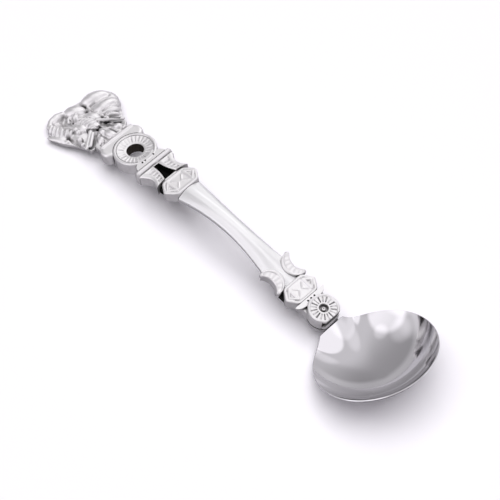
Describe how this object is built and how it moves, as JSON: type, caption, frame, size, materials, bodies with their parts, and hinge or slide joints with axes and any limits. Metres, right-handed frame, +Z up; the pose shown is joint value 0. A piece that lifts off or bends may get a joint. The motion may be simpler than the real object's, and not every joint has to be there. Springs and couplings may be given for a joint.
{
  "type": "sugar spoon",
  "caption": "Silver sugar spoon: a round polished bowl on an arched handle of cast ornaments, with a fluted ring, faceted collars, crescents and a perched bird as finial.",
  "frame": {"origin": "on the table, under the middle of the spoon's box", "axes": "+X along the spoon from the finial to the bowl, +Y to the left, +Z up from the table it lies on"},
  "size_m": [0.117, 0.0296, 0.0147],
  "materials": {
    "polished_silver": "mirror polished silver",
    "cast_silver": "satin cast silver with darkened recesses"
  },
  "bodies": {
    "root": {"bowl": "polished_silver", "stem": "polished_silver", "rosette": "cast_silver", "rosette_pin": "cast_silver", "lower_collar": "cast_silver", "crescent_left": "cast_silver", "crescent_right": "cast_silver", "upper_collar": "cast_silver", "bracket_left": "cast_silver", "bracket_right": "cast_silver", "cross_roll": "cast_silver", "ring": "cast_silver", "saddle": "cast_silver", "perch": "cast_silver", "eagle": "cast_silver"}
  },
  "joints": []
}
